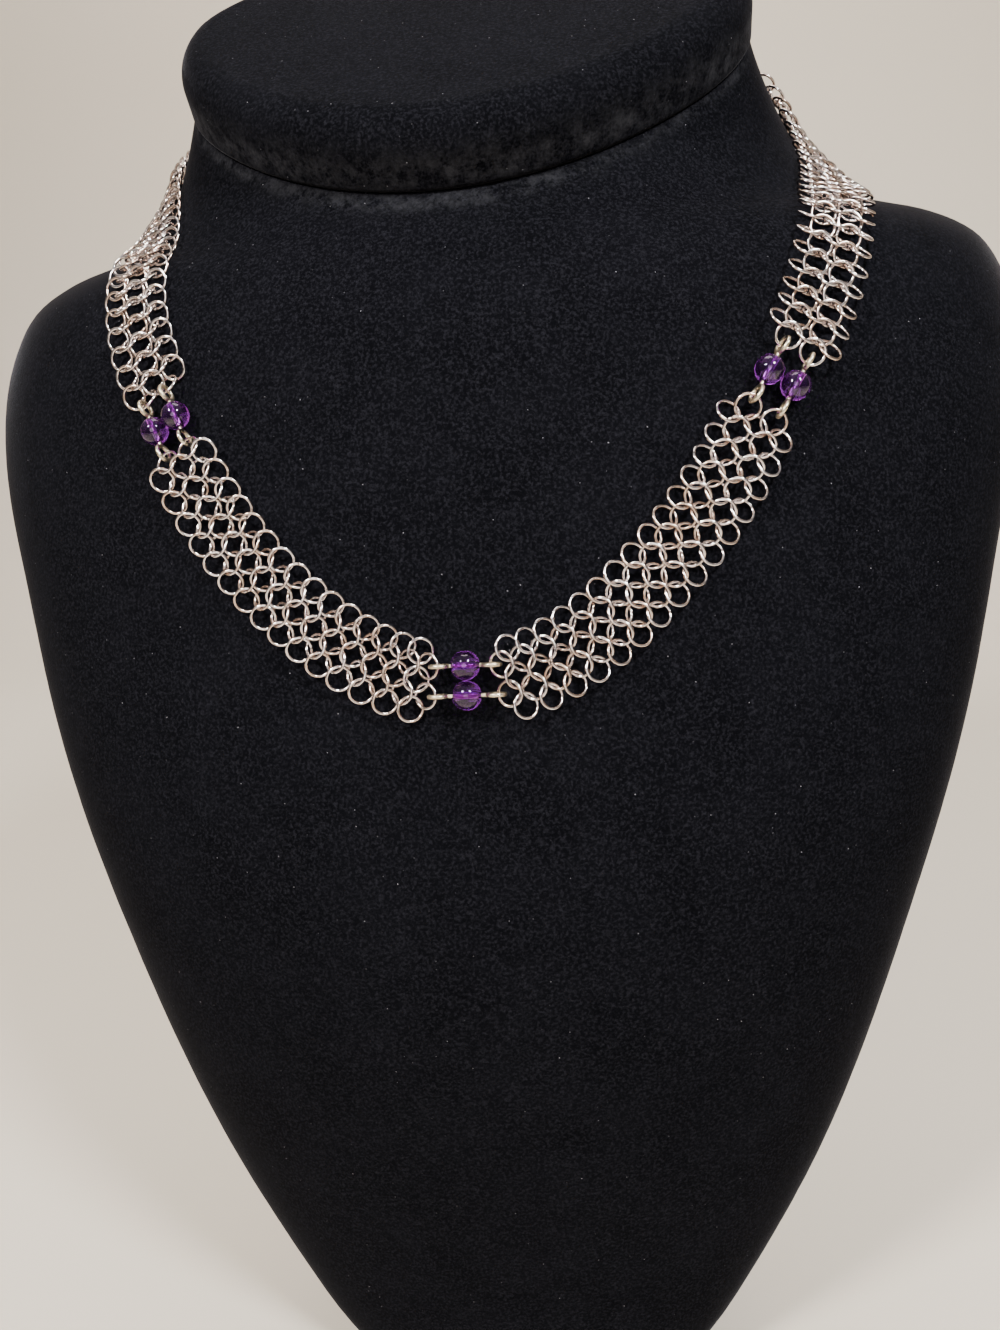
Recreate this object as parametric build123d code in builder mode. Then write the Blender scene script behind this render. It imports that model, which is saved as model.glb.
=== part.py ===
from build123d import *
from math import atan, ceil, cos, pi, radians, sin, tan
import os

os.makedirs("parts", exist_ok=True)

# Neck bust: its front faces -Y, it stands on its flat underside and leans back
shoulder_height = 291.0
shoulder_width = 267.0
shoulder_set_back = 32.0
chest_reach = 65.0
back_reach = 72.0
neck_height = 84.0
neck_width = 144.0
neck_reach = 40.0
lean_angle = 13.15

# Cap that closes the slanted top of the neck
seam_rise = 11.0
seam_slope = 31.0
cap_thickness = 15.0
cap_overhang = 0.5
cap_roll = 8.0
cap_edge_break = 1.0
glue_gap = 0.2
cap_points = 24

# Mail: butted rings in five rows, each ring through four others
ring_wire = 0.65
ring_inside = 4.5
ring_joint = 3.0
row_spacing = 2.97
edge_pitch = 5.33
ring_lean = 28.0
front_columns = 15
rest_clearance = 0.23
raised_start = 1.68
raised_length = 16.0
start_lift = 0.1
start_lean = 23.3

# Bead links: a round bead on a wire with an open eye at each end
bead_diameter = 6.0
bead_bore = 1.15
bead_clearance = 0.12
pin_wire = 0.9
stem_wire = 0.86
stem_sink = 0.1
eye_inside = 2.6
eye_lap = 18.0
eye_slit = 0.15
high_link = 2.95
low_link = 2.6

# Closing at the nape: a plain plate with four holes and four small rings
plate_thickness = 1.0
plate_hole = 1.6
plate_margin = 0.45
hole_distance = 12.0
closing_wire = 0.8
closing_inside = 3.2
high_closing_link = 2.95
low_closing_link = 2.65

# Woven bands that stand for the two back strips
band_thickness = 2.2
band_clearance = 1.0
band_start = 0.8
band_spacing = 8.0

# Turns in degrees; the golden angle spreads the rings' joints evenly round them
quarter_turn = 90
half_turn = 180
golden_angle = 137.5

# Sizes that follow from those above
seam_height = shoulder_height + seam_rise
ring_radius = (ring_inside + ring_wire) / 2
eye_radius = (eye_inside + pin_wire) / 2
closing_radius = (closing_inside + closing_wire) / 2
bead_radius = bead_diameter / 2
eye_reach = bead_radius + bead_clearance + pin_wire / 2 + eye_radius
mail_lift = ring_radius * sin(radians(ring_lean)) + ring_wire / 2 + rest_clearance
bead_lift = bead_radius + rest_clearance
bead_row = bead_radius + bead_clearance / 2
plate_lift = closing_radius + closing_wire / 2 + rest_clearance
band_width = 4 * row_spacing + 2 * ring_radius + ring_wire

# Sections of the body, as shares of the shoulder's height, its half width, the chest's and back's reach and its set
# back. The reaches are measured from the centre line, and the widest line stands behind it by the set back.
body_sections = (
    # height, half width, front reach, back reach, set back
    (0.000, 0.292, 0.254, 1.000, 0.000),
    (0.103, 0.468, 0.415, 0.958, 0.000),
    (0.213, 0.592, 0.575, 0.889, 0.000),
    (0.330, 0.692, 0.755, 0.813, 0.000),
    (0.447, 0.774, 0.905, 0.743, 0.010),
    (0.557, 0.847, 0.985, 0.689, 0.044),
    (0.656, 0.900, 0.990, 0.650, 0.103),
    (0.742, 0.940, 0.966, 0.628, 0.219),
    (0.814, 0.980, 0.942, 0.632, 0.400),
    (0.873, 1.000, 0.915, 0.651, 0.600),
    (0.914, 0.997, 0.885, 0.665, 0.744),
    (0.947, 0.978, 0.848, 0.681, 0.866),
    (0.971, 0.945, 0.808, 0.688, 0.941),
    (0.986, 0.895, 0.777, 0.692, 0.981),
    (0.997, 0.831, 0.755, 0.692, 1.000),
    (1.004, 0.768, 0.735, 0.689, 1.000),
)

# Sections of the neck, as shares of its height over the shoulders, its half width, its reach and the set back
neck_sections = (
    # height, half width, front reach, back reach, set back
    (0.045, 1.333, 1.155, 1.232, 1.000),
    (0.089, 1.264, 1.110, 1.215, 0.972),
    (0.149, 1.183, 1.065, 1.175, 0.859),
    (0.226, 1.106, 1.022, 1.115, 0.672),
    (0.327, 1.035, 0.978, 1.048, 0.444),
    (0.452, 0.972, 0.943, 0.992, 0.256),
    (0.589, 0.935, 0.922, 0.948, 0.100),
    (0.726, 0.919, 0.912, 0.925, 0.012),
    (0.863, 0.911, 0.905, 0.922, 0.000),
    (1.000, 0.905, 0.900, 0.925, 0.000),
)

# Route of the choker round the neck, as directions from the front, in degrees towards +X, and shares of the
# shoulder's height
route = (
    # direction, height
    (3.7, 0.7011),
    (14.6, 0.7066),
    (23.7, 0.7225),
    (35.5, 0.7627),
    (48.4, 0.8351),
    (54.1, 0.879),
    (60.2, 0.919),
    (73.3, 0.991),
    (85.9, 1.0105),
    (96.0, 1.039),
    (104.2, 1.081),
    (139.7, 1.140),
    (180.0, 1.128),
    (219.6, 1.103),
    (246.0, 1.083),
    (275.7, 1.033),
    (295.4, 0.985),
    (301.5, 0.949),
    (310.1, 0.8836),
    (317.7, 0.8221),
    (323.1, 0.7911),
    (333.3, 0.7486),
    (343.4, 0.7211),
    (355.1, 0.7039),
)


def centre_line(height):
    """Place along Y of the bust's centre line at this height"""
    return height * tan(radians(lean_angle))


# Bust, lofted up to the top of the neck and cut off at the slanted seam
half_width = shoulder_width / 2
half_neck = neck_width / 2
sections = [
    (height * shoulder_height, width * half_width, front * chest_reach, back * back_reach, behind)
    for height, width, front, back, behind in body_sections
]
sections += [
    (shoulder_height + height * neck_height, width * half_neck, front * neck_reach, back * neck_reach, behind)
    for height, width, front, back, behind in neck_sections
]
with BuildPart() as neck_bust:
    for height, width, front, back, behind in sections:
        set_back = behind * shoulder_set_back
        middle = (0, centre_line(height) + set_back)
        with BuildSketch(Plane.XY.offset(height)):
            with BuildLine():
                EllipticalCenterArc(middle, width, front + set_back, half_turn, arc_size=half_turn)
                EllipticalCenterArc(middle, width, back - set_back, 0, arc_size=half_turn)
            make_face()
    loft()
    seam_front = centre_line(seam_height) - neck_reach
    seam_up = (0, -sin(radians(seam_slope)), cos(radians(seam_slope)))
    seam = Plane((0, seam_front, seam_height), x_dir=(1, 0, 0), z_dir=seam_up)
    split(bisect_by=seam, keep=Keep.BOTTOM)


# Cap, glued on the slanted top with an overhang all round and a rolled upper rim
rim = neck_bust.faces().sort_by(Axis.Z)[-1].outer_wire()
cap_base = seam.offset(glue_gap)
rim_points = [cap_base.to_local_coords(rim.position_at(share / cap_points)) for share in range(cap_points)]
cap_outline = []
for number, point in enumerate(rim_points):
    chord = rim_points[(number + 1) % cap_points] - rim_points[number - 1]
    outward = Vector(chord.Y, -chord.X).normalized()
    if outward.dot(point - sum(rim_points, Vector()) / cap_points) < 0:
        outward = -outward
    cap_outline.append(Vector(point.X, point.Y) + outward * cap_overhang)
with BuildPart() as neck_cap:
    with BuildSketch(cap_base):
        with BuildLine():
            Spline(*cap_outline, periodic=True)
        make_face()
    extrude(amount=cap_thickness)
    upward = Axis(seam.origin, seam.z_dir)
    fillet(neck_cap.edges().group_by(upward)[-1], cap_roll)
    fillet(neck_cap.edges().group_by(upward)[0], cap_edge_break)

# Line of the choker, closed round the neck and lying on the bust
sides = neck_bust.faces().filter_by(GeomType.PLANE, reverse=True)


def shoulder_point(direction, height):
    """Place on the bust in this direction from its centre line and at this share of the shoulder's height"""
    level = height * shoulder_height
    outward = Vector(sin(radians(direction)), -cos(radians(direction)), 0)
    middle = Vector(0, centre_line(level), level)
    hits = [hit[0] for side in sides for hit in side.find_intersection_points(Axis(middle, outward))]
    return max(hits, key=lambda hit: (hit - middle).dot(outward))


with BuildLine() as choker_line:
    Spline(*[shoulder_point(direction, height) for direction, height in route], periodic=True)
loop = choker_line.edge()


def seat(point):
    """Nearest place on the bust's side to this point, and the outward direction there"""
    near = [side.distance_to_with_closest_points(Vertex(*point)) + (side,) for side in sides]
    gap, place, _, side = min(near, key=lambda found: found[0])
    return place, side.normal_at(place)


def on_bust(distance, across=0):
    """Plane that touches the bust beside the choker's line, with x along it, y across it and z outward"""
    place = loop.position_at(distance % loop.length, position_mode=PositionMode.LENGTH)
    along = loop.tangent_at(distance % loop.length, position_mode=PositionMode.LENGTH)
    place, outward = seat(place)
    if across:
        place, outward = seat(place + outward.cross(along).normalized() * across)
    upward = outward.cross(along).normalized()
    return Plane(place, x_dir=upward.cross(outward), z_dir=outward)


def between(before, after, across):
    """Plane on the bust midway between two places of the choker's line, with x from one to the other"""
    start = on_bust(before, across).origin
    stop = on_bust(after, across).origin
    place, outward = seat((start + stop) / 2)
    upward = outward.cross(stop - start).normalized()
    return Plane(place, x_dir=upward.cross(outward), z_dir=outward)


def tightness(distance):
    """How much the rows crowd where the choker's line bends sideways here: 1 where it is straight"""
    before = on_bust(distance - row_spacing)
    after = on_bust(distance + row_spacing)
    bend = (after.x_dir - before.x_dir).dot(before.y_dir) / (2 * row_spacing)
    return 1 / (1 + abs(bend) * 2 * row_spacing)


def columns(start, side, count, length=None):
    """Distances of a strip's columns of rings, half a pitch apart and closer where the line bends"""
    half_pitch = edge_pitch / 2
    steps = [half_pitch * tightness(start + side * half_pitch * (step + 0.5)) for step in range(2 * count)]
    stretch = length / sum(steps) if length else 1
    return [start + side * stretch * sum(steps[:step]) for step in range(2 * count + 1)]


def rise(distance, start):
    """Height and slope of the mail's lift, which raises a strip at its start and fades out along it"""
    share = min(1, (distance - start) / raised_length)
    height = raised_start * (1 + cos(pi * share)) / 2
    slope = -raised_start * pi * sin(pi * share) / (2 * raised_length)
    return height, slope


def ring_place(distance, across, lean, start, turn=0):
    """Place of one ring of a strip that is raised at this start"""
    height, slope = rise(distance, start)
    if distance == start:
        height += start_lift
        lean *= start_lean / ring_lean
    lean_here = lean - atan(slope) * half_turn / pi
    return on_bust(distance, across).location * Location((0, 0, mail_lift + height), (0, lean_here, turn))


def strip_rings(places):
    """Places of all the rings of a strip, column by column, which lean both ways in turn"""
    start = min(places)
    rings = []
    for index, distance in enumerate(places):
        rows = (-2, 0, 2) if index % 2 else (-1, 1)
        lean = ring_lean if index % 2 else -ring_lean
        for row in rows:
            rings.append(ring_place(distance, row * row_spacing, lean, start, golden_angle * len(rings)))
    return rings


# Where each strip starts and ends; side -1 is -X, side 1 is +X, and distances grow towards +X at the front.
# A pair's eyes hold the near rims of the mail's end rings, which lean up before the pair and down after it.
side_names = {-1: "left", 1: "right"}
pair_reach = {-1: eye_reach + high_link, 1: eye_reach + low_link}
front = {side: columns(side * pair_reach[side], side, front_columns) for side in side_names}
pair = {side: front[side][-1] + side * pair_reach[-side] for side in side_names}
back_start = {side: pair[side] + side * pair_reach[side] for side in side_names}
plate_reach = hole_distance / 2 + closing_radius
nape_reach = {-1: plate_reach + high_closing_link, 1: plate_reach + low_closing_link}
back_length = (loop.length - back_start[1] + back_start[-1] - nape_reach[1] - nape_reach[-1]) / 2
back_columns = ceil(back_length / edge_pitch)
back = {side: columns(back_start[side], side, back_columns, back_length) for side in side_names}

with BuildPart() as mail_ring:
    with BuildSketch(Plane.XZ):
        with Locations((ring_radius, 0)):
            Circle(ring_wire / 2)
    revolve(axis=Axis.Z, revolution_arc=360 - ring_joint)

# Two front strips of mail, from the beads at the centre to the beads at the sides
for side, name in side_names.items():
    with BuildPart() as mail_front:
        with Locations(*strip_rings(front[side])):
            add(mail_ring.part)
    mail_front.part.label = f"mail_front_{name}"
    export_step(mail_front.part, f"parts/{mail_front.part.label}.step")


def band_section(distance, start):
    """Plane across a woven band, and the ends and the middle of its underside on that plane"""
    middle = on_bust(distance)
    section = Plane(middle.origin, x_dir=middle.y_dir, z_dir=middle.x_dir)
    lift = band_clearance + rise(distance, start)[0]
    underside = []
    for across in (-band_width / 2, 0, band_width / 2):
        foot = on_bust(distance, across)
        height = section.to_local_coords(foot.origin + foot.z_dir * lift).Y
        underside.append(Vector(across, height))
    return section, underside


# Two back strips, each a woven band between the real rings at its ends
for side, name in side_names.items():
    start = min(back[side])
    stop = max(back[side])
    end_rings = [
        ring_place(place, row * row_spacing, -ring_lean, start) for place in (start, stop) for row in (-1, 1)
    ]
    band_length = stop - start - 2 * band_start
    spans = ceil(band_length / band_spacing)
    with BuildPart() as mail_back:
        for span in range(spans + 1):
            section, underside = band_section(start + band_start + band_length * span / spans, start)
            topside = [point + Vector(0, band_thickness) for point in reversed(underside)]
            with BuildSketch(section):
                with BuildLine():
                    ThreePointArc(*underside)
                    Line(underside[-1], topside[0])
                    ThreePointArc(*topside)
                    Line(topside[-1], underside[0])
                make_face()
        loft()
        with Locations(*end_rings):
            add(mail_ring.part)
    mail_back.part.label = f"mail_back_{name}"
    export_step(mail_back.part, f"parts/{mail_back.part.label}.step")

# Bead, drilled along its pin
with BuildPart() as bead:
    with BuildSketch():
        Circle(bead_radius)
        with Locations((0, bead_bore / 2)):
            Rectangle(bead_diameter, bead_diameter, align=(Align.CENTER, Align.MIN), mode=Mode.INTERSECT)
    revolve(axis=Axis.X)

# Six beads, each on its pin with an eye at both ends; row 1 is the upper one
bead_places = (
    # place, height, row, strip's end before it, strip's start after it, extra reach and turn of its eyes
    ("centre", "upper", 1, front[-1][0], front[1][0], 0.0, 90),
    ("centre", "lower", -1, front[-1][0], front[1][0], 0.6, 90),
    ("right", "upper", 1, front[1][-1], back[1][0], 0.5, 80),
    ("right", "lower", -1, front[1][-1], back[1][0], 0.3, 85),
    ("left", "upper", 1, back[-1][0], front[-1][-1], 0.3, 90),
    ("left", "lower", -1, back[-1][0], front[-1][-1], 0.3, 90),
)
pair_shift = (pair_reach[-1] - pair_reach[1]) / 2
eye_arc = 2 * half_turn - eye_slit / eye_radius * half_turn / pi
for place, height, row, before, after, extra, turn in bead_places:
    seated = between(before, after, row * bead_row).location * Location((pair_shift, 0, bead_lift))
    reach = eye_reach + extra
    with BuildPart() as glass_bead:
        with Locations(seated):
            add(bead.part)
    glass_bead.part.label = f"bead_{place}_{height}"
    export_step(glass_bead.part, f"parts/{glass_bead.part.label}.step")
    with BuildPart() as eye_pin:
        with Locations(seated * Location((0, 0, 0), (0, quarter_turn, 0))):
            Cylinder(stem_wire / 2, 2 * (reach - eye_radius + stem_sink))
        for end, facing in ((-1, half_turn), (1, 0)):
            eye = Plane(seated * Location((end * reach, 0, 0), (-row * turn, 0, facing - eye_lap)))
            with BuildSketch(Plane(eye.origin - eye.x_dir * eye_radius, x_dir=eye.x_dir, z_dir=eye.y_dir)):
                Circle(pin_wire / 2)
            revolve(axis=Axis(eye.origin, eye.z_dir), revolution_arc=eye_arc)
    eye_pin.part.label = f"eye_pin_{place}_{height}"
    export_step(eye_pin.part, f"parts/{eye_pin.part.label}.step")

# Closing at the nape: a plain plate with four holes, and a ring through each hole
plate_shift = (nape_reach[-1] - nape_reach[1]) / 2
plate_seat = between(back[1][-1], back[-1][-1], 0).location
plate = Plane(plate_seat * Location((plate_shift, 0, plate_lift)))
plate_end = plate_hole / 2 + plate_margin
with BuildPart() as clasp_plate:
    with BuildSketch(plate.offset(-plate_thickness / 2)):
        Rectangle(hole_distance + 2 * plate_end, 2 * row_spacing + 2 * plate_end)
        with GridLocations(hole_distance, 2 * row_spacing, 2, 2):
            Circle(plate_hole / 2, mode=Mode.SUBTRACT)
    extrude(amount=plate_thickness)
    fillet(clasp_plate.edges().filter_by(Axis(plate.origin, plate.z_dir)), plate_margin)
clasp_plate.part.label = "clasp_plate"
export_step(clasp_plate.part, "parts/clasp_plate.step")

# Along the choker's line the right strip ends at the plate and the left one starts there
for end, name in ((-1, "right"), (1, "left")):
    for row, height in ((1, "upper"), (-1, "lower")):
        centre = (end * plate_reach, row * row_spacing, 0)
        ring = Plane(plate.location * Location(centre, (quarter_turn, 0, 0)))
        joint = ring.origin + ring.x_dir * closing_radius
        with BuildPart() as clasp_ring:
            with BuildSketch(Plane(joint, x_dir=ring.x_dir, z_dir=ring.y_dir)):
                Circle(closing_wire / 2)
            revolve(axis=Axis(ring.origin, ring.z_dir), revolution_arc=2 * half_turn - ring_joint)
        clasp_ring.part.label = f"clasp_ring_{name}_{height}"
        export_step(clasp_ring.part, f"parts/{clasp_ring.part.label}.step")

neck_bust.part.label = "neck_bust"
export_step(neck_bust.part, "parts/neck_bust.step")
neck_cap.part.label = "neck_cap"
export_step(neck_cap.part, "parts/neck_cap.step")
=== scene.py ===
import math
import bpy
import numpy as np
from mathutils import Matrix, Vector
from mathutils.bvhtree import BVHTree


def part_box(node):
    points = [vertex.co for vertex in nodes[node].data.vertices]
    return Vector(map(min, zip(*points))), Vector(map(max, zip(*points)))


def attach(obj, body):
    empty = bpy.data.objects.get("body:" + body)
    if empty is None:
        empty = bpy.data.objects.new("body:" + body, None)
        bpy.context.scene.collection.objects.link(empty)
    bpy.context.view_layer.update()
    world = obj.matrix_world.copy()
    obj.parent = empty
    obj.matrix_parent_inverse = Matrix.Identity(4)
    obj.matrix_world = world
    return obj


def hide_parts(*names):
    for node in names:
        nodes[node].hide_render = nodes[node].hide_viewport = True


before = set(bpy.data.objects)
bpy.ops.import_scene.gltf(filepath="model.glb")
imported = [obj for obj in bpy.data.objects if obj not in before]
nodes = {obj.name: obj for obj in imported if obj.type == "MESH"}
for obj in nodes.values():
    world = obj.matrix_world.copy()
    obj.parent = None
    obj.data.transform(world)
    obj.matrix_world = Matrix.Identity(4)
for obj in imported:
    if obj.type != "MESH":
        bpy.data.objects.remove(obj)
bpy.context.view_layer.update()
mm = 0.001
print("frame loaded:", len(nodes), "nodes")

# Camera, at the photograph's place
view = {
    "place": (0.0414, -0.2181, 0.2784),
    "down": 19.1,  # degrees, as are the next two
    "towardsLeft": 8.6,
    "roll": 4.8,
    "focalPixels": 1077,
    "photoWidth": 1000,
    "nearClip": 0.01,
}


def addCamera(v):
    down, left, roll = (math.radians(v[key]) for key in ("down", "towardsLeft", "roll"))
    ahead = Vector((-math.sin(left) * math.cos(down), math.cos(left) * math.cos(down), -math.sin(down)))
    level = Vector((math.cos(left), math.sin(left), 0))
    upright = level.cross(ahead)
    right = level * math.cos(roll) - upright * math.sin(roll)
    up = level * math.sin(roll) + upright * math.cos(roll)
    data = bpy.data.cameras.new("photoCamera")
    data.sensor_fit = "HORIZONTAL"
    data.lens = v["focalPixels"] / v["photoWidth"] * data.sensor_width
    data.clip_start = v["nearClip"]
    camera = bpy.data.objects.new("photoCamera", data)
    bpy.context.scene.collection.objects.link(camera)
    turn = Matrix((right, up, -ahead)).transposed()
    camera.matrix_world = Matrix.Translation(v["place"]) @ turn.to_4x4()
    bpy.context.scene.camera = camera


addCamera(view)
print("camera set")

# Helpers for node trees and materials
mixFirst, mixSecond, mixResult = 6, 7, 2  # the colour sockets of a Mix node


def addNode(tree, kind, place, inputs=None, **settings):
    node = tree.nodes.new(kind)
    node.location = place
    for key, value in settings.items():
        setattr(node, key, value)
    for socket, value in (inputs or {}).items():
        node.inputs[socket].default_value = value
    return node


def joinSockets(tree, pairs):
    for source, target in pairs:
        tree.links.new(source, target)


def addSockets(tree, inputs, outputs):
    for label, kind, value in inputs:
        socket = tree.interface.new_socket(label, in_out="INPUT", socket_type=kind)
        if value is not None:
            socket.default_value = value
    for label, kind in outputs:
        tree.interface.new_socket(label, in_out="OUTPUT", socket_type=kind)
    return addNode(tree, "NodeGroupInput", (-1100, 0)), addNode(tree, "NodeGroupOutput", (900, 0))


def placeGroup(tree, group, place, inputs):
    return addNode(tree, "ShaderNodeGroup", place, inputs, node_tree=group)


def setStops(ramp, stops):
    elements = ramp.color_ramp.elements  # a new ramp has two
    for number, (share, colour) in enumerate(stops):
        element = elements[number] if number < 2 else elements.new(share)
        element.position = share
        element.color = colour


def newMaterial(name, settings):
    material = bpy.data.materials.new(name)
    material.use_nodes = True
    shader = material.node_tree.nodes["Principled BSDF"]
    for socket, value in settings.items():
        shader.inputs[socket].default_value = value
    return material, material.node_tree, shader


# Floor, backdrop and lights
studio = {
    "wallDistance": 1.15,  # behind the bust
    "sweepRadius": 0.55,
    "halfWidth": 2.2,
    "frontReach": 1.8,
    "wallHeight": 2.2,
    "sweepSteps": 24,
    "paper": {"Base Color": (0.725, 0.64, 0.53, 1), "Roughness": 0.8},
    "airStops": (
        # place between straight down (0) and straight up (1), colour of the air there
        (0.42, (0.10, 0.095, 0.09, 1)),
        (0.62, (0.16, 0.155, 0.15, 1)),
        (0.80, (0.36, 0.365, 0.38, 1)),
        (1.00, (0.62, 0.635, 0.655, 1)),
    ),
    "airStrength": 0.75,
    "lamps": (
        # name, place, aimed at, width, power in watts, colour
        ("lampLeft", (-0.45, -0.55, 0.95), (0, 0, 0.25), 0.22, 15, (1.0, 0.97, 0.93)),
        ("lampRight", (0.50, -0.45, 0.95), (0, 0, 0.25), 0.22, 15, (0.96, 0.98, 1.0)),
        ("lampFill", (0.0, -1.4, 0.7), (0, 0, 0.2), 0.9, 8, (1.0, 0.95, 0.90)),
        ("lampWall", (0.0, 0.45, 1.5), (0, 1.15, 0.3), 0.8, 9, (1.0, 0.93, 0.86)),
        ("lampBack", (0.0, 0.95, 1.1), (0, 0.05, 0.3), 0.5, 3, (1.0, 0.98, 0.96)),
    ),
}


def studioSurface(s):
    profile = [(-s["frontReach"], 0.0)]
    for step in range(s["sweepSteps"] + 1):
        angle = math.pi / 2 * step / s["sweepSteps"]
        profile.append((s["wallDistance"] - s["sweepRadius"] * (1 - math.sin(angle)),
                        s["sweepRadius"] * (1 - math.cos(angle))))
    profile.append((s["wallDistance"], s["wallHeight"]))
    points = [(x, y, z) for y, z in profile for x in (-s["halfWidth"], s["halfWidth"])]
    faces = [(2 * k, 2 * k + 1, 2 * k + 3, 2 * k + 2) for k in range(len(profile) - 1)]
    mesh = bpy.data.meshes.new("paleSweep")
    mesh.from_pydata(points, [], faces)
    mesh.shade_smooth()
    return mesh


def addSweep(s):
    sweep = bpy.data.objects.new("paleSweep", studioSurface(s))
    bpy.context.scene.collection.objects.link(sweep)
    sweep.data.materials.append(newMaterial("palePaper", s["paper"])[0])


def addLamps(s):
    for name, place, aim, width, power, colour in s["lamps"]:
        data = bpy.data.lights.new(name, "AREA")
        data.shape = "DISK"
        data.size = width
        data.energy = power
        data.color = colour
        lamp = bpy.data.objects.new(name, data)
        bpy.context.scene.collection.objects.link(lamp)
        lamp.location = place
        lamp.rotation_euler = (Vector(aim) - Vector(place)).to_track_quat("-Z", "Y").to_euler()


def addAir(s):
    world = bpy.data.worlds.new("studioAir")
    world.use_nodes = True
    tree = world.node_tree
    air = tree.nodes["Background"]
    air.inputs["Strength"].default_value = s["airStrength"]
    toward = addNode(tree, "ShaderNodeTexCoord", (-900, 0))
    split = addNode(tree, "ShaderNodeSeparateXYZ", (-700, 0))
    height = addNode(tree, "ShaderNodeMapRange", (-500, 0), {"From Min": -1.0})
    ramp = addNode(tree, "ShaderNodeValToRGB", (-300, 0))
    setStops(ramp, s["airStops"])
    joinSockets(tree, (
        (toward.outputs["Generated"], split.inputs[0]), (split.outputs["Z"], height.inputs["Value"]),
        (height.outputs["Result"], ramp.inputs["Fac"]), (ramp.outputs["Color"], air.inputs["Color"]),
    ))
    bpy.context.scene.world = world


addSweep(studio)
addLamps(studio)
addAir(studio)
print("studio set")

# Blotches between two colours, with a fine grain
patchy = {
    "blotches": {"Detail": 4.0, "Roughness": 0.6},
    "grain": {"Detail": 3.0, "Roughness": 0.7},
    "contrast": {"From Min": 0.38, "From Max": 0.62},
}


def patchyFinishGroup(p):
    tree = bpy.data.node_groups.new("patchyFinish", "ShaderNodeTree")
    start, end = addSockets(tree, (
        ("First Colour", "NodeSocketColor", (0.5, 0.5, 0.5, 1)),
        ("Second Colour", "NodeSocketColor", (0.6, 0.6, 0.6, 1)),
        ("Patch Scale", "NodeSocketFloat", 100.0),
        ("Grain Scale", "NodeSocketFloat", 2000.0),
        ("Shift", "NodeSocketFloat", 0.0),
    ), (
        ("Color", "NodeSocketColor"),
        ("Mask", "NodeSocketFloat"),
        ("Grain", "NodeSocketFloat"),
    ))
    place = addNode(tree, "ShaderNodeTexCoord", (-900, 300))
    blotch = addNode(tree, "ShaderNodeTexNoise", (-500, 200), p["blotches"])
    grain = addNode(tree, "ShaderNodeTexNoise", (-500, -150), p["grain"])
    shifted = addNode(tree, "ShaderNodeMath", (-200, 200), operation="ADD", use_clamp=True)
    spread = addNode(tree, "ShaderNodeMapRange", (0, 200), p["contrast"])
    mixed = addNode(tree, "ShaderNodeMix", (250, 200), data_type="RGBA")
    joinSockets(tree, (
        (place.outputs["Object"], blotch.inputs["Vector"]), (place.outputs["Object"], grain.inputs["Vector"]),
        (start.outputs["Patch Scale"], blotch.inputs["Scale"]),
        (start.outputs["Grain Scale"], grain.inputs["Scale"]),
        (blotch.outputs["Fac"], shifted.inputs[0]), (start.outputs["Shift"], shifted.inputs[1]),
        (shifted.outputs[0], spread.inputs["Value"]), (spread.outputs["Result"], mixed.inputs["Factor"]),
        (start.outputs["First Colour"], mixed.inputs[mixFirst]),
        (start.outputs["Second Colour"], mixed.inputs[mixSecond]),
        (mixed.outputs[mixResult], end.inputs["Color"]), (spread.outputs["Result"], end.inputs["Mask"]),
        (grain.outputs["Fac"], end.inputs["Grain"]),
    ))
    return tree


# Specks of lint that cling to the nap
def lintGroup():
    tree = bpy.data.node_groups.new("clingingLint", "ShaderNodeTree")
    start, end = addSockets(tree, (
        ("Color", "NodeSocketColor", (0.01, 0.01, 0.01, 1)),
        ("Lint Colour", "NodeSocketColor", (0.3, 0.3, 0.3, 1)),
        ("Spacing Scale", "NodeSocketFloat", 300.0),
        ("Speck Size", "NodeSocketFloat", 0.06),
        ("Faintness", "NodeSocketFloat", 2.5),
    ), (("Color", "NodeSocketColor"),))
    place = addNode(tree, "ShaderNodeTexCoord", (-900, 300))
    cells = addNode(tree, "ShaderNodeTexVoronoi", (-600, 200), feature="F1")
    dot = addNode(tree, "ShaderNodeMath", (-350, 250), operation="LESS_THAN")
    strength = addNode(tree, "ShaderNodeSeparateColor", (-350, 0))
    faint = addNode(tree, "ShaderNodeMath", (-150, 0), operation="POWER")
    mask = addNode(tree, "ShaderNodeMath", (50, 150), operation="MULTIPLY")
    mixed = addNode(tree, "ShaderNodeMix", (300, 200), data_type="RGBA")
    joinSockets(tree, (
        (place.outputs["Object"], cells.inputs["Vector"]),
        (start.outputs["Spacing Scale"], cells.inputs["Scale"]),
        (cells.outputs["Distance"], dot.inputs[0]), (start.outputs["Speck Size"], dot.inputs[1]),
        (cells.outputs["Color"], strength.inputs[0]), (strength.outputs[0], faint.inputs[0]),
        (start.outputs["Faintness"], faint.inputs[1]),
        (dot.outputs[0], mask.inputs[0]), (faint.outputs[0], mask.inputs[1]),
        (mask.outputs[0], mixed.inputs["Factor"]), (start.outputs["Color"], mixed.inputs[mixFirst]),
        (start.outputs["Lint Colour"], mixed.inputs[mixSecond]),
        (mixed.outputs[mixResult], end.inputs["Color"]),
    ))
    return tree


patchyFinish = patchyFinishGroup(patchy)
lint = lintGroup()

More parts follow.
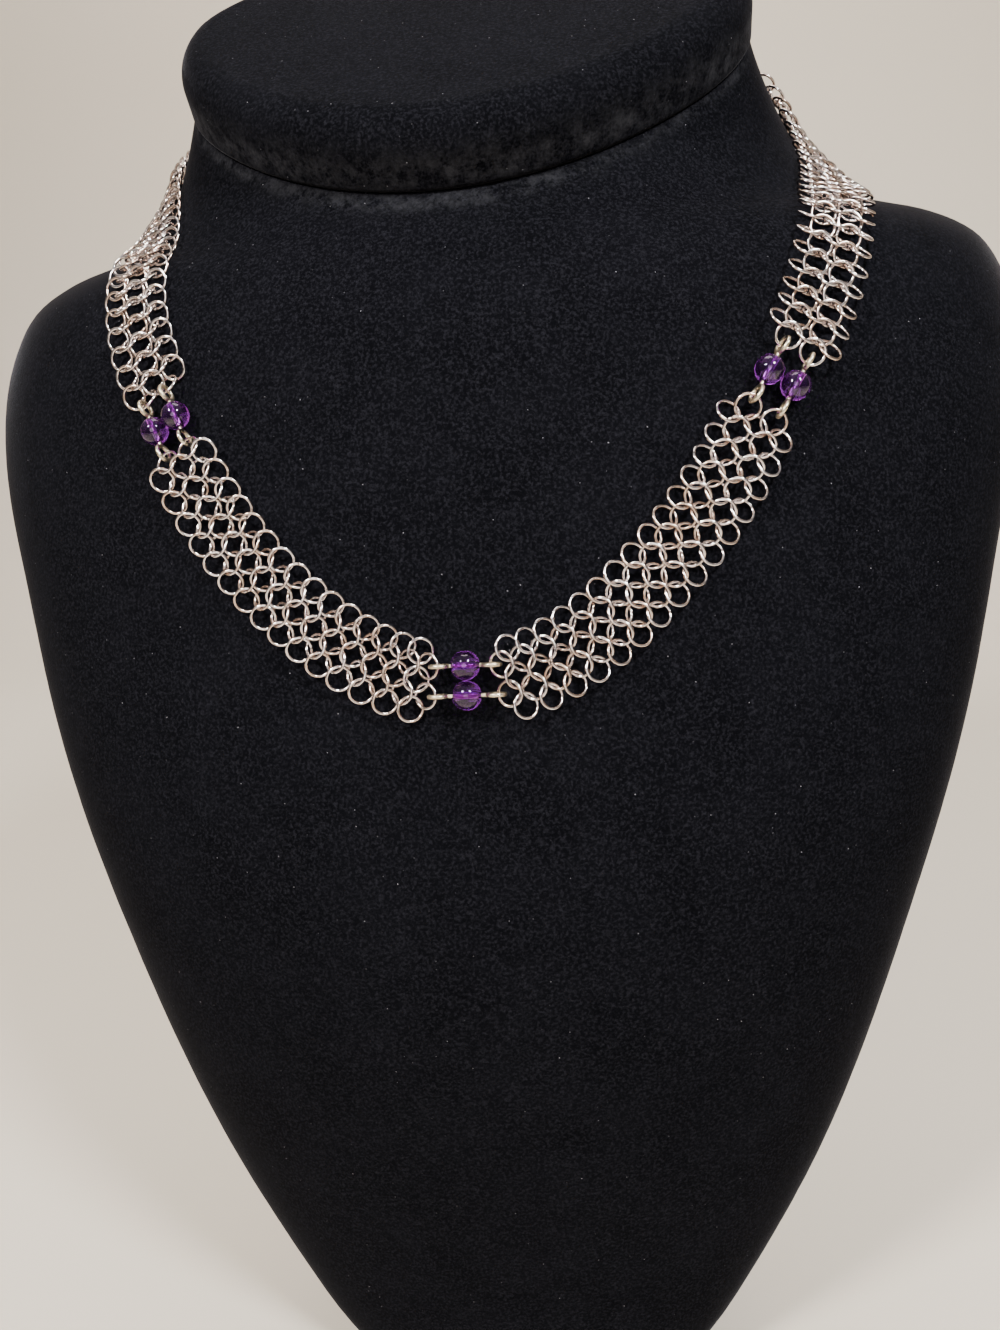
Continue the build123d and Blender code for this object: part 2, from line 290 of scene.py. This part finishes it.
# Black velvet of the bust and its cap: paler fibre ends, lint, and pale bands on both sides of the seam that
# are partly worn nap and partly a painted highlight on the cap's rolled rim
velvet = {
    "shader": {"Roughness": 0.95, "Specular IOR Level": 0.02, "Sheen Weight": 0.15, "Sheen Roughness": 0.22,
               "Sheen Tint": (0.52, 0.50, 0.54, 1)},
    "patches": {"First Colour": (0.0018, 0.0018, 0.0026, 1), "Second Colour": (0.0027, 0.0027, 0.0038, 1),
                "Patch Scale": 60.0, "Grain Scale": 1500.0},
    "fibreColour": (0.0122, 0.0120, 0.0155, 1),
    "fibreContrast": {"From Min": 0.46, "From Max": 0.74},
    "lint": {"Lint Colour": (0.22, 0.21, 0.23, 1), "Spacing Scale": 380.0, "Speck Size": 0.05,
             "Faintness": 2.5},
    "nap": {"Strength": 0.6, "Distance": 0.12 * mm},
    "seamPlace": (0.0, 30.55 * mm, 302.0 * mm),
    "seamSlope": 31.0,  # degrees, higher at the back
    # paler colour of the worn nap and the painted rim highlight by the seam
    "wornAndHighlightColour": (0.042, 0.042, 0.047, 1),
    "wornAndHighlightNoise": {"Scale": 220.0, "Detail": 5.0, "Roughness": 0.8},
    "wornAndHighlightContrast": {"From Min": 0.42, "From Max": 0.66},
    "wornAndHighlightStops": (
        # height over the seam in mm, share of worn nap and painted highlight
        (-3.4, 0.0), (-2.2, 0.05), (-1.2, 0.4), (-0.4, 0.35), (0.0, 0.0),
        (0.8, 0.15), (2.5, 0.5), (5.0, 0.55), (8.0, 0.2), (11.0, 0.0),
    ),
}


# Mask of the pale bands by the seam: worn nap and a painted highlight on the cap's rolled rim
def wearAndHighlightMask(tree, v):
    slope = math.radians(v["seamSlope"])
    upward = Vector((0, -math.sin(slope), math.cos(slope)))
    low, high = v["wornAndHighlightStops"][0][0], v["wornAndHighlightStops"][-1][0]
    level = upward.dot(Vector(v["seamPlace"]))
    place = addNode(tree, "ShaderNodeTexCoord", (-1500, -300))
    height = addNode(tree, "ShaderNodeVectorMath", (-1300, -300), {1: tuple(upward)}, operation="DOT_PRODUCT")
    share = addNode(tree, "ShaderNodeMapRange", (-1100, -300), {
        "From Min": level + low * mm, "From Max": level + high * mm})
    ramp = addNode(tree, "ShaderNodeValToRGB", (-900, -300))
    setStops(ramp, [((stop - low) / (high - low), (wear, wear, wear, 1)) for stop, wear in v["wornAndHighlightStops"]])
    noise = addNode(tree, "ShaderNodeTexNoise", (-1100, -600), v["wornAndHighlightNoise"])
    uneven = addNode(tree, "ShaderNodeMapRange", (-900, -600), v["wornAndHighlightContrast"])
    mask = addNode(tree, "ShaderNodeMath", (-600, -400), operation="MULTIPLY")
    joinSockets(tree, (
        (place.outputs["Object"], height.inputs[0]), (height.outputs["Value"], share.inputs["Value"]),
        (share.outputs["Result"], ramp.inputs["Fac"]), (place.outputs["Object"], noise.inputs["Vector"]),
        (noise.outputs["Fac"], uneven.inputs["Value"]), (ramp.outputs["Color"], mask.inputs[0]),
        (uneven.outputs["Result"], mask.inputs[1]),
    ))
    return mask.outputs[0]


def velvetMaterial(v):
    material, tree, shader = newMaterial("blackVelvet", v["shader"])
    finish = placeGroup(tree, patchyFinish, (-900, 200), v["patches"])
    fibre = addNode(tree, "ShaderNodeMapRange", (-700, 0), v["fibreContrast"])
    furry = addNode(tree, "ShaderNodeMix", (-500, 200), {mixSecond: v["fibreColour"]}, data_type="RGBA")
    wornAndHighlight = addNode(tree, "ShaderNodeMix", (-350, 100), {mixSecond: v["wornAndHighlightColour"]}, data_type="RGBA")
    specks = placeGroup(tree, lint, (-200, 200), v["lint"])
    nap = addNode(tree, "ShaderNodeBump", (-300, -200), v["nap"])
    joinSockets(tree, (
        (finish.outputs["Color"], furry.inputs[mixFirst]), (finish.outputs["Grain"], fibre.inputs["Value"]),
        (fibre.outputs["Result"], furry.inputs["Factor"]), (furry.outputs[mixResult], wornAndHighlight.inputs[mixFirst]),
        (wearAndHighlightMask(tree, v), wornAndHighlight.inputs["Factor"]), (wornAndHighlight.outputs[mixResult], specks.inputs["Color"]),
        (specks.outputs["Color"], shader.inputs["Base Color"]),
        (finish.outputs["Grain"], nap.inputs["Height"]),
        (nap.outputs["Normal"], shader.inputs["Normal"]),
    ))
    return material


# Bright steel wire of the mail, with blotches of painted warm reflection and shade that differ from ring to
# ring
steel = {
    "shader": {"Metallic": 1.0, "Roughness": 0.17},
    # both colours are painted reflection: pale where the wire mirrors light, warm and darker where it mirrors
    # a warm room and shade
    "patches": {"First Colour": (0.86, 0.79, 0.78, 1), "Second Colour": (0.60, 0.46, 0.38, 1),
                "Patch Scale": 420.0, "Grain Scale": 6000.0},
    "drawn": {"Strength": 0.5, "Distance": 0.01 * mm},
    "dullSpan": (0.75, 1.4),  # times the roughness, from the first colour to the second
    "tintShift": 0.12,
}


def wireMaterial(name, w, attribute=None):
    material, tree, shader = newMaterial(name, w["shader"])
    finish = placeGroup(tree, patchyFinish, (-600, 200), w["patches"])
    drawn = addNode(tree, "ShaderNodeBump", (-300, -200), w["drawn"])
    firstRoughness, secondRoughness = (w["shader"]["Roughness"] * factor for factor in w["dullSpan"])
    dull = addNode(tree, "ShaderNodeMapRange", (-300, 0), {"To Min": firstRoughness, "To Max": secondRoughness})
    joinSockets(tree, (
        (finish.outputs["Color"], shader.inputs["Base Color"]),
        (finish.outputs["Grain"], drawn.inputs["Height"]),
        (drawn.outputs["Normal"], shader.inputs["Normal"]), (finish.outputs["Mask"], dull.inputs["Value"]),
        (dull.outputs["Result"], shader.inputs["Roughness"]),
    ))
    if attribute:
        # each ring shifts the blend of its painted reflection by its own random amount
        tint = addNode(tree, "ShaderNodeAttribute", (-1000, 100), attribute_name=attribute)
        spread = addNode(tree, "ShaderNodeMapRange", (-800, 100), {
            "To Min": -w["tintShift"], "To Max": w["tintShift"]})
        joinSockets(tree, (
            (tint.outputs["Fac"], spread.inputs["Value"]), (spread.outputs["Result"], finish.inputs["Shift"]),
        ))
    return material


# Pale nickel-silver wire of the bead pins
nickel = {
    "shader": {"Metallic": 1.0, "Roughness": 0.30},
    "patches": {"First Colour": (0.82, 0.74, 0.56, 1), "Second Colour": (0.66, 0.55, 0.38, 1),
                "Patch Scale": 350.0, "Grain Scale": 5000.0},
    "drawn": {"Strength": 0.5, "Distance": 0.012 * mm},
    "dullSpan": (0.75, 1.4),
}

# Purple glass of the beads
glass = {
    "shader": {"Roughness": 0.0, "IOR": 1.5, "Transmission Weight": 0.99},
    "patches": {"First Colour": (0.46, 0.09, 0.66, 1), "Second Colour": (0.38, 0.07, 0.60, 1),
                "Patch Scale": 160.0, "Grain Scale": 1500.0},
}


def glassMaterial(g):
    material, tree, shader = newMaterial("purpleGlass", g["shader"])
    finish = placeGroup(tree, patchyFinish, (-500, 200), g["patches"])
    joinSockets(tree, ((finish.outputs["Color"], shader.inputs["Base Color"]),))
    return material


velvetCloth = velvetMaterial(velvet)
steelWire = wireMaterial("steelWire", steel, "ringTint")
claspSteel = wireMaterial("claspSteel", steel)
nickelWire = wireMaterial("nickelWire", nickel)
purpleGlass = glassMaterial(glass)
finishes = {
    # first word of a node's name
    "neck": velvetCloth,
    "bead": purpleGlass,
    "eye": nickelWire,
    "clasp": claspSteel,
    "mail": claspSteel,  # hidden under the rings
}
for name, node in nodes.items():
    for slot in node.material_slots:
        slot.material = finishes[name.split("_")[0]]
print("materials set")

# Mail: one ring shape repeated on points that carry each ring's turn
mail = {
    "ringRadius": 2.575 * mm,
    "wireRadius": 0.325 * mm,
    "jointAngle": 3.0,  # degrees of open butt joint
    "jointOffset": 0.10 * mm,
    "ringSteps": 34,
    "wireSteps": 10,
    "wobble": 1.5,  # degrees
    "sharpAngle": 60,  # degrees
    "sameWithin": 0.001 * mm,  # for points that meet in a loose ring
    "seed": 5,
}


def mailTree(m, material):
    tree = bpy.data.node_groups.new("mailRings", "GeometryNodeTree")
    start, end = addSockets(tree, (
        ("Geometry", "NodeSocketGeometry", None),
        ("Ring Radius", "NodeSocketFloat", m["ringRadius"]),
        ("Wire Radius", "NodeSocketFloat", m["wireRadius"]),
        ("Joint Angle", "NodeSocketFloat", math.radians(m["jointAngle"])),
        ("Joint Offset", "NodeSocketFloat", m["jointOffset"]),
        ("Ring Steps", "NodeSocketInt", m["ringSteps"]),
        ("Wire Steps", "NodeSocketInt", m["wireSteps"]),
        ("Seed", "NodeSocketInt", m["seed"]),
        ("Material", "NodeSocketMaterial", material),
    ), (("Geometry", "NodeSocketGeometry"),))
    sweep = addNode(tree, "ShaderNodeMath", (-900, -300), {0: 2 * math.pi}, operation="SUBTRACT")
    arc = addNode(tree, "GeometryNodeCurveArc", (-700, -200))
    along = addNode(tree, "GeometryNodeSplineParameter", (-900, -500))
    middle = addNode(tree, "ShaderNodeMath", (-700, -500), {1: 0.5}, operation="SUBTRACT")  # half way
    pull = addNode(tree, "ShaderNodeMath", (-500, -500), operation="MULTIPLY")
    lift = addNode(tree, "ShaderNodeCombineXYZ", (-350, -450))
    bend = addNode(tree, "GeometryNodeSetPosition", (-300, -200))
    wire = addNode(tree, "GeometryNodeCurvePrimitiveCircle", (-300, -650))
    ring = addNode(tree, "GeometryNodeCurveToMesh", (-100, -200), {"Fill Caps": True})
    turn = addNode(tree, "GeometryNodeInputNamedAttribute", (-100, 200), {"Name": "ringTurn"},
                   data_type="FLOAT_VECTOR")
    rotation = addNode(tree, "FunctionNodeEulerToRotation", (100, 200))
    repeat = addNode(tree, "GeometryNodeInstanceOnPoints", (250, 0))
    # a random number for each ring, which shifts its blend of painted reflection
    random = addNode(tree, "FunctionNodeRandomValue", (250, -300), data_type="FLOAT")
    tint = addNode(tree, "GeometryNodeStoreNamedAttribute", (430, 0), {"Name": "ringTint"},
                   data_type="FLOAT", domain="INSTANCE")
    real = addNode(tree, "GeometryNodeRealizeInstances", (600, 0))
    finish = addNode(tree, "GeometryNodeSetMaterial", (750, 0))
    joinSockets(tree, (
        (start.outputs["Joint Angle"], sweep.inputs[1]), (sweep.outputs[0], arc.inputs["Sweep Angle"]),
        (start.outputs["Ring Steps"], arc.inputs["Resolution"]),
        (start.outputs["Ring Radius"], arc.inputs["Radius"]),
        (along.outputs["Factor"], middle.inputs[0]), (middle.outputs[0], pull.inputs[0]),
        (start.outputs["Joint Offset"], pull.inputs[1]), (pull.outputs[0], lift.inputs["Z"]),
        (arc.outputs["Curve"], bend.inputs["Geometry"]), (lift.outputs[0], bend.inputs["Offset"]),
        (start.outputs["Wire Steps"], wire.inputs["Resolution"]),
        (start.outputs["Wire Radius"], wire.inputs["Radius"]),
        (bend.outputs["Geometry"], ring.inputs["Curve"]),
        (wire.outputs["Curve"], ring.inputs["Profile Curve"]),
        (start.outputs["Geometry"], repeat.inputs["Points"]),
        (ring.outputs["Mesh"], repeat.inputs["Instance"]),
        (turn.outputs["Attribute"], rotation.inputs[0]), (rotation.outputs[0], repeat.inputs["Rotation"]),
        (start.outputs["Seed"], random.inputs["Seed"]),
        (repeat.outputs["Instances"], tint.inputs["Geometry"]),
        (random.outputs[1], tint.inputs["Value"]), (tint.outputs["Geometry"], real.inputs["Geometry"]),
        (real.outputs["Geometry"], finish.inputs["Geometry"]),
        (start.outputs["Material"], finish.inputs["Material"]),
        (finish.outputs["Geometry"], end.inputs["Geometry"]),
    ))
    return tree


def setInputs(modifier, values):
    for item in modifier.node_group.interface.items_tree:
        if item.item_type == "SOCKET" and item.in_out == "INPUT" and item.name in values:
            modifier[item.identifier] = values[item.name]


def bakeMesh(piece):
    bpy.context.view_layer.update()
    graph = bpy.context.evaluated_depsgraph_get()
    mesh = bpy.data.meshes.new_from_object(
        piece.evaluated_get(graph), preserve_all_data_layers=True, depsgraph=graph)
    for modifier in list(piece.modifiers):
        piece.modifiers.remove(modifier)
    piece.data = mesh
    for face in mesh.polygons:
        face.use_smooth = len(face.vertices) == 4  # the wire's ends stay flat
    mesh.set_sharp_from_angle(angle=math.radians(mail["sharpAngle"]))


def addMail(name, places, tree, seed, replaced):
    mesh = bpy.data.meshes.new(name)
    mesh.from_pydata([place.translation for place in places], [], [])
    turns = mesh.attributes.new("ringTurn", "FLOAT_VECTOR", "POINT")
    turns.data.foreach_set("vector", [angle for place in places for angle in place.to_euler("XYZ")])
    piece = bpy.data.objects.new(name, mesh)
    bpy.context.scene.collection.objects.link(piece)
    modifier = piece.modifiers.new("mailRings", "NODES")
    modifier.node_group = tree
    setInputs(modifier, {"Seed": seed})
    bakeMesh(piece)
    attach(piece, "root")
    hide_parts(replaced)
    return piece


# Places of the rings in a front strip: the middle and axis of each loose ring of its node
def looseRings(node, chance):
    mesh = node.data
    points = np.empty(3 * len(mesh.vertices))
    mesh.vertices.foreach_get("co", points)
    points = points.reshape(-1, 3)
    ends = np.empty(2 * len(mesh.edges), dtype=np.int64)
    mesh.edges.foreach_get("vertices", ends)
    rounded = np.round(points / mail["sameWithin"]).astype(np.int64)
    same = np.unique(rounded, axis=0, return_inverse=True)[1].ravel()
    first, second = same[ends[0::2]], same[ends[1::2]]
    group = np.arange(same.max() + 1)
    while True:
        lowest = np.minimum(group[first], group[second])
        after = group.copy()
        np.minimum.at(after, first, lowest)
        np.minimum.at(after, second, lowest)
        after = after[after]
        if (after == group).all():
            break
        group = after
    places = []
    for label in np.unique(group):
        ring = points[group[same] == label]
        centre = ring.mean(axis=0)
        axis = Vector(np.linalg.svd(ring - centre, full_matrices=False)[2][2])
        places.append(ringPlace(Vector(centre), axis, chance))
    return places


def ringPlace(centre, axis, chance):
    turn = axis.to_track_quat("Z", "Y").to_matrix() @ Matrix.Rotation(chance.uniform(0, 2 * math.pi), 3, "Z")
    wobble = math.radians(mail["wobble"])
    tipped = Matrix.Rotation(chance.normal(0, wobble), 3, "X")
    swung = Matrix.Rotation(chance.normal(0, wobble), 3, "Y")
    return Matrix.Translation(centre) @ (turn @ (tipped @ swung)).to_4x4()


# The choker's line round the neck, with the same rules as the strips of the frame
line = {
    "route": (
        # degrees from the front towards the right, and share of the shoulder's height
        (3.7, 0.7011), (14.6, 0.7066), (23.7, 0.7225), (35.5, 0.7627), (48.4, 0.8351), (54.1, 0.879),
        (60.2, 0.919), (73.3, 0.991), (85.9, 1.0105), (96.0, 1.039), (104.2, 1.081), (139.7, 1.140),
        (180.0, 1.128), (219.6, 1.103), (246.0, 1.083), (275.7, 1.033), (295.4, 0.985), (301.5, 0.949),
        (310.1, 0.8836), (317.7, 0.8221), (323.1, 0.7911), (333.3, 0.7486), (343.4, 0.7211), (355.1, 0.7039),
    ),
    "shoulderHeight": 291 * mm,
    "neckLean": 13.15,  # degrees
    "castFrom": 0.4,  # outside the bust
    "spanSteps": 120,
    "smoothReach": 3.0 * mm,
    "halfStep": 0.5 * mm,  # to each side, for the line's direction
}
strip = {
    "rowSpacing": 2.97 * mm,
    "pitch": 5.33 * mm,
    "lean": 28.0,  # degrees, both ways in turn
    "startLean": 23.3,  # of the first column
    "startLift": 0.10 * mm,
    "raisedStart": 1.68 * mm,  # above the rest, and down to it over the next length
    "raisedLength": 16 * mm,
    "restClearance": 0.23 * mm,
    # from a pair of beads and from the clasp's middle to the strips before and after them
    "pairReach": {-1: 8.27 * mm, 1: 7.92 * mm},
    "napeReach": {-1: 10.95 * mm, 1: 10.65 * mm},
    "sampleSteps": 160,
    "acrossPasses": 2,
}
bustTree = BVHTree.FromObject(nodes["neck_bust"], bpy.context.evaluated_depsgraph_get())


def shoulderPoint(direction, height):
    level = height * line["shoulderHeight"]
    middle = Vector((0, level * math.tan(math.radians(line["neckLean"])), level))
    outward = Vector((math.sin(math.radians(direction)), -math.cos(math.radians(direction)), 0))
    return bustTree.ray_cast(middle + outward * line["castFrom"], -outward)[0]


def closedLine(points, steps):
    count = len(points)
    spans = np.linalg.norm(np.roll(points, -1, axis=0) - points, axis=1)
    bands = np.zeros((count, count))
    pulls = np.zeros((count, 3))
    for here in range(count):
        before, after = spans[here - 1], spans[here]
        bands[here, here - 1] += after
        bands[here, here] += 2 * (before + after)
        bands[here, (here + 1) % count] += before
        pulls[here] = 3 * (after * (points[here] - points[here - 1]) / before
                           + before * (points[(here + 1) % count] - points[here]) / after)
    slopes = np.linalg.solve(bands, pulls)
    share = (np.arange(steps) / steps)[:, None]
    runs = []
    for here in range(count):
        there = (here + 1) % count
        chord = ((2 * share**3 - 3 * share**2 + 1) * points[here]
                 + (3 * share**2 - 2 * share**3) * points[there])
        bow = ((share**3 - 2 * share**2 + share) * slopes[here]
               + (share**3 - share**2) * slopes[there])
        runs.append(chord + spans[here] * bow)
    run = np.concatenate(runs + [points[:1]])
    return run, np.concatenate([[0], np.cumsum(np.linalg.norm(np.diff(run, axis=0), axis=1))])


routePoints = np.array([shoulderPoint(*stop) for stop in line["route"]])
lineRun, lineLengths = closedLine(routePoints, line["spanSteps"])
loopLength = lineLengths[-1]
print("choker's line", round(loopLength / mm, 2), "mm")


def linePoint(distance):
    return Vector([np.interp(distance % loopLength, lineLengths, lineRun[:, k]) for k in range(3)])


def seat(point):
    place, _, _, _ = bustTree.find_nearest(point)
    outward = Vector()
    for _, normal, _, far in bustTree.find_nearest_range(place, line["smoothReach"]):
        outward += normal * (1 - far / line["smoothReach"]) ** 2
    return place, outward.normalized()


def onBust(distance, across=0.0):
    along = (linePoint(distance + line["halfStep"]) - linePoint(distance - line["halfStep"])).normalized()
    place, outward = seat(linePoint(distance))
    if across:
        place, outward = seat(place + outward.cross(along).normalized() * across)
    upward = outward.cross(along).normalized()
    return place, Matrix((upward.cross(outward), upward, outward)).transposed()


def tightness(distance):
    _, before = onBust(distance - strip["rowSpacing"])
    _, after = onBust(distance + strip["rowSpacing"])
    bend = (after.col[0] - before.col[0]).dot(before.col[1]) / (2 * strip["rowSpacing"])
    return 1 / (1 + abs(bend) * 2 * strip["rowSpacing"])


def rise(distance, start):
    share = min(1, (distance - start) / strip["raisedLength"])
    height = strip["raisedStart"] * (1 + math.cos(math.pi * share)) / 2
    slope = strip["raisedStart"] * math.pi * math.sin(math.pi * share) / (2 * strip["raisedLength"])
    return height, -slope


def lineDistance(name):
    low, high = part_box(name)
    middle = (np.array(low) + np.array(high)) / 2
    return lineLengths[np.argmin(np.linalg.norm(lineRun - middle, axis=1))]


# A place above the bust whose distance across the strip is kept where the bust curves
def liftedPlace(distance, row, lift):
    place, turn = onBust(distance)
    centre = place + turn.col[2] * lift
    place = centre
    across = row * strip["rowSpacing"]
    for _ in range(strip["acrossPasses"] if row else 0):
        foot, turn = onBust(distance, across)
        place = foot + turn.col[2] * lift
        across *= abs(row) * strip["rowSpacing"] / (place - centre).length
    return place, turn


def backRings(side, word, chance):
    pair = (lineDistance(f"bead_{word}_upper") + lineDistance(f"bead_{word}_lower")) / 2
    nape = lineDistance("clasp_plate")
    first = pair + side * strip["pairReach"][side]
    last = nape - side * strip["napeReach"][-side]
    edge = mail["ringRadius"] * math.sin(math.radians(strip["lean"]))
    flat = strip["restClearance"] + mail["wireRadius"] + edge
    samples = np.linspace(first, last, strip["sampleSteps"])
    run = np.array([liftedPlace(distance, 0, flat)[0] for distance in samples])
    gaps = np.linalg.norm(np.diff(run, axis=0), axis=1)
    needs = gaps / [tightness(distance) for distance in (samples[1:] + samples[:-1]) / 2]
    reached = np.concatenate([[0], np.cumsum(needs)])
    steps = 2 * round(reached[-1] / strip["pitch"])
    stops = np.interp(np.linspace(0, reached[-1], steps + 1), reached, samples)
    start = min(stops)
    places = []
    for index, distance in enumerate(stops):
        for row in ((-2, 0, 2) if index % 2 else (-1, 1)):  # three rings and two in turn
            lean = strip["lean"] * (1 if index % 2 else -1)
            height, slope = rise(distance, start)
            if distance == start:
                height += strip["startLift"]
                lean *= strip["startLean"] / strip["lean"]
            place, turn = liftedPlace(distance, row, flat + height)
            tilt = math.radians(lean) - math.atan(slope)
            places.append(ringPlace(place, turn @ Vector((math.sin(tilt), 0, math.cos(tilt))), chance))
    return places


chance = np.random.default_rng(mail["seed"])
rings = mailTree(mail, steelWire)
mailPieces = []
for side, word in ((-1, "left"), (1, "right")):
    places = looseRings(nodes[f"mail_front_{word}"], chance)
    print("front", word, len(places), "rings")
    mailPieces.append(addMail(f"mailFront_{word}", places, rings, mail["seed"] + side, f"mail_front_{word}"))
    places = backRings(side, word, chance)
    print("back", word, len(places), "rings")
    backSeed = mail["seed"] + 3 * side  # another than the front strip's
    mailPieces.append(addMail(f"mailBack_{word}", places, rings, backSeed, f"mail_back_{word}"))
print("mail made:", sum(len(piece.data.polygons) for piece in mailPieces), "faces")
